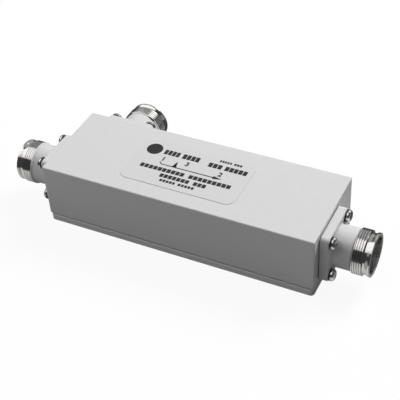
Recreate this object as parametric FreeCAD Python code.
import FreeCAD, Part
import math
import os

# Directional coupler with three coaxial ports, in millimetres, +Z up.
# The origin is the centre of the cover's underside. The output port faces +X, the input port
# faces -X and the coupled port faces +Y, near the input end.
# A port's own frame has its axis along +Z and its origin where the axis leaves the housing.

# Housing, from the front face to the back face: wall, main line, coupled line, wall
body_length = 131.2
wall_thickness = 7.0
front_clearance = 9.9
line_spacing = 12.7
back_clearance = 8.8

# Housing, from the base up: cover with its raised floor, gap for the lines, roof
cover_thickness = 3.3
gasket_thickness = 0.7
floor_thickness = 10.0
line_gap = 14.0
roof_thickness = 6.8
cavity_corner_radius = 3.0
vertical_edge_break = 0.4
top_edge_break = 0.25
cover_corner_radius = 1.8
cover_edge_break = 0.5
floor_clearance = 0.2
gasket_inset = 0.5
coupled_inset = 19.0

# Coaxial connector with an M20 coupling thread, radii from the crest inwards
thread_radius = 10.0
thread_runout = 0.35
neck_step = 1.0
neck_wall = 0.75
rim_flare = 0.7
flare_bow_rise = 0.3
flare_bow_place = 0.6
barrel_step = 0.65
barrel_wall = 1.75
spigot_wall = 2.0
bead_step = 0.6
contact_radius = 2.15
socket_radius = 1.1
pin_radius = 1.5

# Connector, lengths along its axis from the housing outwards
flange_gasket_thickness = 0.4
flange_thickness = 3.95
barrel_length = 8.25
thread_length = 5.3
neck_length = 1.0
flare_length = 1.4
rim_length = 0.7
web_thickness = 1.4
bead_length = 4.0
bead_recess = 0.2
contact_reach = 3.5
socket_slot_width = 0.35
socket_end_web = 0.6
pin_reach = 4.0

# Connector flange and its four pan head screws
flange_margin = 2.8
flange_corner_radius = 2.0
flange_edge_break = 0.4
barrel_foot = 0.5
flange_gasket_inset = 0.5
gasket_hole_clearance = 0.3
screw_radius = 1.5
screw_head_radius = 2.8
screw_head_height = 2.5
screw_head_rim = 0.9
screw_head_shoulder = 0.3
screw_head_clearance = 0.75
screw_hole_clearance = 0.1
screw_tip_gap = 0.5
tapped_web = 1.0
recess_width = 0.75
recess_span = 2.7
recess_depth = 1.2
recess_margin = 0.15

# Countersunk screws of the bottom cover
cover_screw_radius = 1.25
cover_screw_head_radius = 2.35
cover_screw_sink = 0.1
cover_screw_grip = 6.0
cover_screws_per_side = 4

# Tapped holes for fixing the base down
mounting_hole_radius = 2.0
mounting_hole_depth = 6.0
mounting_end_inset = 13.6
mounting_side_inset = 5.7

# Lines, their supports and the load that ends the coupled line
main_line_radius = 3.8
coupled_line_radius = 3.0
line_end_gap = 1.0
line_overrun = 4.0
support_thickness = 3.0
support_wall = 1.4
main_support_inset = 24.0
coupled_support_inset = 22.0
end_block_length = 5.0
load_end_inset = 6.6
load_base_width = 7.0
load_base_thickness = 1.6
load_chip_length = 5.0
load_chip_width = 6.0
load_chip_thickness = 1.0
load_tab_thickness = 0.3
load_tab_width = 2.0
load_tab_lap = 1.5
load_screw_spacing = 11.6
load_screw_margin = 2.2
load_screw_radius = 1.0
load_screw_head_radius = 1.9
load_screw_head_height = 1.4
load_screw_grip = 3.5

# Label on the top face, placed from the input end and the front face
label_length = 56.0
label_width = 29.0
label_thickness = 0.2
label_corner_radius = 4.0
label_end_inset = 34.8
label_front_inset = 8.2

# Places and sizes worked out from the ones above
body_width = 2 * wall_thickness + front_clearance + line_spacing + back_clearance
body_height = floor_thickness + line_gap + roof_thickness
half_length = body_length / 2
half_width = body_width / 2
housing_base = cover_thickness + gasket_thickness
roof_level = floor_thickness + line_gap
port_height = floor_thickness + line_gap / 2
main_line_y = -half_width + wall_thickness + front_clearance
coupled_line_y = main_line_y + line_spacing
coupled_port_x = -half_length + coupled_inset
cavity_half_length = half_length - wall_thickness
cavity_half_width = half_width - wall_thickness

barrel_radius = thread_radius - barrel_step
spigot_radius = barrel_radius - barrel_wall
bead_radius = spigot_radius - spigot_wall
signal_bore_radius = bead_radius - bead_step
neck_radius = thread_radius - neck_step
rim_radius = neck_radius + rim_flare
mouth_radius = neck_radius - neck_wall
flange_face = flange_gasket_thickness + flange_thickness
barrel_end = flange_face + barrel_length
thread_end = barrel_end + thread_length
neck_end = thread_end + neck_length
flare_end = neck_end + flare_length
rim_end = flare_end + rim_length
mouth_floor = barrel_end + web_thickness
bead_front = mouth_floor - bead_recess
bead_back = bead_front - bead_length
screw_pitch = math.sqrt(2) * (barrel_radius + screw_head_radius + screw_head_clearance)
flange_size = screw_pitch + 2 * flange_margin
tapped_depth = wall_thickness - tapped_web
main_line_end = cavity_half_length - line_end_gap

PORTS = {
    "input": (FreeCAD.Vector(-half_length, main_line_y, port_height), FreeCAD.Vector(-1, 0, 0)),
    "output": (FreeCAD.Vector(half_length, main_line_y, port_height), FreeCAD.Vector(1, 0, 0)),
    "coupled": (FreeCAD.Vector(coupled_port_x, half_width, port_height), FreeCAD.Vector(0, 1, 0)),
}
Z_AXIS = FreeCAD.Vector(0, 0, 1)
CORNERS = [(-1, -1), (1, -1), (1, 1), (-1, 1)]


def upright_edges(shape):
    """The straight edges of a prism that stand along Z."""
    found = []
    for edge in shape.Edges:
        first, last = edge.Vertexes[0].Point, edge.Vertexes[-1].Point
        if abs(first.x - last.x) < 1e-6 and abs(first.y - last.y) < 1e-6:
            found.append(edge)
    return found


def edges_at(shape, level):
    """The edges that lie flat at one height."""
    return [edge for edge in shape.Edges
            if abs(edge.BoundBox.ZMin - level) < 1e-6 and abs(edge.BoundBox.ZMax - level) < 1e-6]


def slab(x_centre, y_centre, length, width, z_low, z_high, corner=0.0):
    """A flat-topped block about a centre, its upright corners rounded."""
    block = Part.makeBox(length, width, z_high - z_low,
                         FreeCAD.Vector(x_centre - length / 2, y_centre - width / 2, z_low))
    if corner > 0:
        block = block.makeFillet(corner, upright_edges(block))
    return block


def post(radius, z_low, z_high, x=0.0, y=0.0):
    """An upright cylinder."""
    return Part.makeCylinder(radius, z_high - z_low, FreeCAD.Vector(x, y, z_low))


def rod_along_x(radius, x_low, x_high, y):
    """A cylinder along X at the height of the lines."""
    return Part.makeCylinder(radius, x_high - x_low, FreeCAD.Vector(x_low, y, port_height),
                             FreeCAD.Vector(1, 0, 0))


def turned(points):
    """A solid of revolution about Z from a closed outline of (radius, height) points."""
    outline = [FreeCAD.Vector(radius, 0, height) for radius, height in points]
    face = Part.Face(Part.makePolygon(outline + outline[:1]))
    return face.revolve(FreeCAD.Vector(0, 0, 0), Z_AXIS, 360)


def at_port(shape, name):
    """Move a shape from a port's own frame to that port."""
    origin, direction = PORTS[name]
    placed = shape.copy()
    placed.Placement = FreeCAD.Placement(origin, FreeCAD.Rotation(Z_AXIS, direction))
    return placed


def flange_screw_places():
    """The four screw axes of a flange, in a port's own frame."""
    return [(sx * screw_pitch / 2, sy * screw_pitch / 2) for sx, sy in CORNERS]


def cover_screw_places():
    """The screw axes of the cover, in a row along each long wall."""
    y = half_width - wall_thickness / 2
    end = half_length - wall_thickness / 2
    step = 2 * end / (cover_screws_per_side - 1)
    return [(-end + i * step, side * y) for side in (-1, 1) for i in range(cover_screws_per_side)]


def mounting_places():
    """The four tapped holes under the cover."""
    x = cavity_half_length - mounting_end_inset
    y = cavity_half_width - mounting_side_inset
    return [(sx * x, sy * y) for sx, sy in CORNERS]


def load_x():
    """The middle of the load, from the output end of the cavity."""
    return cavity_half_length - load_end_inset


def load_screw_places():
    """The two screws of the load, either side of its chip."""
    return [(load_x(), coupled_line_y + side * load_screw_spacing / 2) for side in (-1, 1)]


def coupled_line_span():
    """Where the coupled line starts, and where its end block starts and ends."""
    start = coupled_port_x - line_overrun
    block_end = load_x() - load_base_width / 2 - line_end_gap
    return start, block_end - end_block_length, block_end


def housing():
    """Milled block, open below, with the ports' bores and every tapped hole."""
    block = slab(0, 0, body_length, body_width, housing_base, body_height, vertical_edge_break)
    block = block.makeChamfer(top_edge_break, edges_at(block, body_height))
    cuts = [slab(0, 0, 2 * cavity_half_length, 2 * cavity_half_width, housing_base, roof_level,
                 cavity_corner_radius)]
    for name in PORTS:
        cuts.append(at_port(post(signal_bore_radius, -wall_thickness, 0), name))
        for x, y in flange_screw_places():
            cuts.append(at_port(post(screw_radius, -tapped_depth, 0, x, y), name))
    cover_hole_top = housing_base + cover_screw_grip + screw_tip_gap
    load_hole_top = roof_level + load_screw_grip + screw_tip_gap
    for x, y in cover_screw_places():
        cuts.append(post(cover_screw_radius, housing_base, cover_hole_top, x, y))
    for x, y in load_screw_places():
        cuts.append(post(load_screw_radius, roof_level, load_hole_top, x, y))
    return block.cut(cuts)


def floor_outline(z_low, z_high):
    """The raised floor, which fits into the cavity with a small gap all round."""
    length = 2 * (cavity_half_length - floor_clearance)
    width = 2 * (cavity_half_width - floor_clearance)
    return slab(0, 0, length, width, z_low, z_high, cavity_corner_radius - floor_clearance)


def bottom_cover():
    """Plate with a raised floor, countersunk for its screws and tapped for fixing down."""
    plate = slab(0, 0, body_length, body_width, 0, cover_thickness, cover_corner_radius)
    plate = plate.makeChamfer(cover_edge_break, edges_at(plate, cover_thickness))
    cover = plate.fuse(floor_outline(cover_thickness, floor_thickness))
    mouth = cover_screw_head_radius + cover_screw_sink
    hole = cover_screw_radius + screw_hole_clearance
    cuts = []
    for x, y in cover_screw_places():
        cuts.append(post(hole, 0, cover_thickness, x, y))
        cuts.append(Part.makeCone(mouth, hole, mouth - hole, FreeCAD.Vector(x, y, 0)))
    for x, y in mounting_places():
        cuts.append(post(mounting_hole_radius, 0, mounting_hole_depth, x, y))
    return cover.cut(cuts).removeSplitter()


def cover_gasket():
    """Flat frame between cover and housing, set back so that it shows as a dark line."""
    frame = slab(0, 0, body_length - 2 * gasket_inset, body_width - 2 * gasket_inset,
                 cover_thickness, housing_base, cover_corner_radius)
    cuts = [slab(0, 0, 2 * cavity_half_length, 2 * cavity_half_width, cover_thickness, housing_base,
                 cavity_corner_radius)]
    hole = cover_screw_radius + screw_hole_clearance
    for x, y in cover_screw_places():
        cuts.append(post(hole, cover_thickness, housing_base, x, y))
    return frame.cut(cuts)


def cover_screw():
    """Countersunk screw, its head just under the face of the cover."""
    tip = housing_base + cover_screw_grip
    cone_end = cover_screw_sink + cover_screw_head_radius - cover_screw_radius
    body = turned([(0, cover_screw_sink), (cover_screw_head_radius, cover_screw_sink),
                   (cover_screw_radius, cone_end), (cover_screw_radius, tip), (0, tip)])
    return body.cut(cross_recess(cover_screw_sink, cover_screw_sink + cover_screw_radius,
                                 cover_screw_radius / screw_radius))


def cross_recess(z_low, z_high, share=1.0):
    """The cross that a driver fits, sized down with the screw."""
    width, span = recess_width * share, recess_span * share
    return slab(0, 0, span, width, z_low, z_high).fuse(slab(0, 0, width, span, z_low, z_high))


def flange_screw():
    """Pan head screw in a port's own frame, seated on the flange."""
    top = flange_face + screw_head_height
    brow = flange_face + screw_head_rim
    crown = recess_span / 2 + recess_margin
    shoulder = (screw_head_radius - screw_head_shoulder * (screw_head_radius - crown),
                top - screw_head_shoulder * (top - brow))
    tip = -(tapped_depth - screw_tip_gap)
    body = turned([(0, tip), (screw_radius, tip), (screw_radius, flange_face),
                   (screw_head_radius, flange_face), (screw_head_radius, brow), shoulder,
                   (crown, top), (0, top)])
    return body.cut(cross_recess(top - recess_depth, top))


def flange_screws():
    """Four screws at each port."""
    group = Part.makeCompound([moved(flange_screw(), x, y) for x, y in flange_screw_places()])
    return Part.makeCompound([screw for name in PORTS for screw in at_port(group, name).Solids])


def connector_body():
    """Square flange and round barrel in one piece, bored for the threaded sleeve."""
    back = flange_gasket_thickness
    plate = slab(0, 0, flange_size, flange_size, back, flange_face, flange_corner_radius)
    plate = plate.makeChamfer(flange_edge_break, edges_at(plate, flange_face))
    foot_radius = barrel_radius + barrel_foot
    barrel = turned([(0, back), (foot_radius, back), (foot_radius, flange_face),
                     (barrel_radius, flange_face + barrel_foot), (barrel_radius, barrel_end),
                     (0, barrel_end)])
    cuts = [post(spigot_radius, back, barrel_end)]
    hole = screw_radius + screw_hole_clearance
    for x, y in flange_screw_places():
        cuts.append(post(hole, back, flange_face, x, y))
    return plate.fuse(barrel).cut(cuts).removeSplitter()


def thread_sleeve():
    """Plated sleeve: spigot in the barrel, threaded band, neck and flared mouth."""
    crest_start = barrel_end + thread_runout
    crest_end = thread_end - thread_runout
    return turned([
        (signal_bore_radius, flange_gasket_thickness),
        (spigot_radius, flange_gasket_thickness),
        (spigot_radius, barrel_end),
        (barrel_radius, barrel_end),
        (thread_radius, crest_start),
        (thread_radius, crest_end),
        (neck_radius, thread_end),
        (neck_radius, neck_end),
        (neck_radius + flare_bow_rise * rim_flare, neck_end + flare_bow_place * flare_length),
        (rim_radius, flare_end),
        (rim_radius, rim_end),
        (mouth_radius, rim_end),
        (mouth_radius, mouth_floor),
        (bead_radius, mouth_floor),
        (bead_radius, bead_back),
        (signal_bore_radius, bead_back),
    ])


def insulator():
    """Bead that carries the contact on the axis of the sleeve."""
    return post(bead_radius, bead_back, bead_front).cut(post(contact_radius, bead_back, bead_front))


def contact(shoulder, tip):
    """Centre contact: slotted socket in front, pin behind for the line."""
    front = mouth_floor + contact_reach
    slot_foot = mouth_floor + socket_end_web
    solid = turned([(0, tip), (pin_radius, tip), (pin_radius, shoulder), (contact_radius, shoulder),
                    (contact_radius, front), (socket_radius, front), (socket_radius, mouth_floor),
                    (0, mouth_floor)])
    across = 2 * bead_radius
    slots = [slab(0, 0, across, socket_slot_width, slot_foot, front),
             slab(0, 0, socket_slot_width, across, slot_foot, front)]
    return solid.cut(slots)


def flange_gasket():
    """Thin square gasket behind a flange, set back from the flange's edge."""
    side = flange_size - 2 * flange_gasket_inset
    sheet = slab(0, 0, side, side, 0, flange_gasket_thickness, flange_corner_radius)
    cuts = [post(signal_bore_radius + gasket_hole_clearance, 0, flange_gasket_thickness)]
    for x, y in flange_screw_places():
        cuts.append(post(screw_radius + screw_hole_clearance, 0, flange_gasket_thickness, x, y))
    return sheet.cut(cuts)


def main_line():
    """Rod between the two through ports, drilled at each end for a contact's pin."""
    rod = rod_along_x(main_line_radius, -main_line_end, main_line_end, main_line_y)
    holes = [rod_along_x(pin_radius, -main_line_end, -main_line_end + pin_reach, main_line_y),
             rod_along_x(pin_radius, main_line_end - pin_reach, main_line_end, main_line_y)]
    return rod.cut(holes)


def coupled_line():
    """Thinner rod beside the main one, cross-drilled at its port, with a block for the load."""
    start, block_start, block_end = coupled_line_span()
    rod = rod_along_x(coupled_line_radius, start, block_start, coupled_line_y)
    middle = (block_start + block_end) / 2
    block = slab(middle, coupled_line_y, end_block_length, 2 * coupled_line_radius,
                 port_height - coupled_line_radius, load_tab_base())
    hole = Part.makeCylinder(pin_radius, coupled_line_radius,
                             FreeCAD.Vector(coupled_port_x, coupled_line_y, port_height),
                             FreeCAD.Vector(0, 1, 0))
    return rod.fuse(block).cut(hole)


def line_support(x, y, line_radius):
    """Plate that holds a rod between the raised floor and the roof."""
    width = 2 * (line_radius + support_wall)
    plate = slab(x, y, support_thickness, width, floor_thickness, roof_level)
    return plate.cut(rod_along_x(line_radius, x - support_thickness, x + support_thickness, y))


def load_tab_base():
    """The underside of the load's tab, which is the top of the line's end block."""
    return roof_level - load_base_thickness - load_chip_thickness - load_tab_thickness


def load_base():
    """Metal flange of the load, screwed to the roof."""
    low = roof_level - load_base_thickness
    span = load_screw_spacing + 2 * load_screw_margin
    plate = slab(load_x(), coupled_line_y, load_base_width, span, low, roof_level)
    hole = load_screw_radius + screw_hole_clearance
    return plate.cut([post(hole, low, roof_level, x, y) for x, y in load_screw_places()])


def load_chip():
    """Ceramic resistor under the load's flange."""
    top = roof_level - load_base_thickness
    low = top - load_chip_thickness
    return slab(load_x(), coupled_line_y, load_chip_length, load_chip_width, low, top)


def load_tab():
    """Flat lead from the line's end block to the chip."""
    low = load_tab_base()
    block_end = coupled_line_span()[2]
    start = block_end - end_block_length / 2
    end = load_x() - load_chip_length / 2 + load_tab_lap
    middle = (start + end) / 2
    return slab(middle, coupled_line_y, end - start, load_tab_width, low, low + load_tab_thickness)


def load_screw(x, y):
    """Small screw up into the roof."""
    seat = roof_level - load_base_thickness
    return post(load_screw_head_radius, seat - load_screw_head_height, seat, x, y).fuse(
        post(load_screw_radius, seat, roof_level + load_screw_grip, x, y))


def label():
    """Thin sticker on the top face."""
    x = -half_length + label_end_inset + label_length / 2
    y = -half_width + label_front_inset + label_width / 2
    top = body_height + label_thickness
    return slab(x, y, label_length, label_width, body_height, top, label_corner_radius)


def moved(shape, x, y):
    """A copy of a shape, shifted in plan."""
    copy = shape.copy()
    copy.translate(FreeCAD.Vector(x, y, 0))
    return copy


def connector_nodes(name):
    """The nodes of one port, apart from its screws."""
    shoulder = -(wall_thickness + line_end_gap)
    tip = coupled_line_y - half_width if name == "coupled" else shoulder - pin_reach
    pieces = {
        "connector_body": connector_body(),
        "thread_sleeve": thread_sleeve(),
        "insulator": insulator(),
        "contact": contact(shoulder, tip),
        "flange_gasket": flange_gasket(),
    }
    return {f"{name}_{piece}": at_port(shape, name) for piece, shape in pieces.items()}


def build():
    """Every node of the coupler by name."""
    start, _, block_end = coupled_line_span()
    main_supports = [main_line_end - main_support_inset, main_support_inset - main_line_end]
    coupled_supports = [start + coupled_support_inset, block_end - coupled_support_inset]
    nodes = {
        "housing": housing(),
        "bottom_cover": bottom_cover(),
        "cover_gasket": cover_gasket(),
        "cover_screws": Part.makeCompound(
            [moved(cover_screw(), x, y) for x, y in cover_screw_places()]),
        "flange_screws": flange_screws(),
        "main_line": main_line(),
        "coupled_line": coupled_line(),
        "main_line_supports": Part.makeCompound(
            [line_support(x, main_line_y, main_line_radius) for x in main_supports]),
        "coupled_line_supports": Part.makeCompound(
            [line_support(x, coupled_line_y, coupled_line_radius) for x in coupled_supports]),
        "load_base": load_base(),
        "load_chip": load_chip(),
        "load_tab": load_tab(),
        "load_screws": Part.makeCompound([load_screw(x, y) for x, y in load_screw_places()]),
        "label": label(),
    }
    for name in PORTS:
        nodes.update(connector_nodes(name))
    return nodes


os.makedirs("parts", exist_ok=True)
for node, shape in build().items():
    shape.exportStep(f"parts/{node}.step")
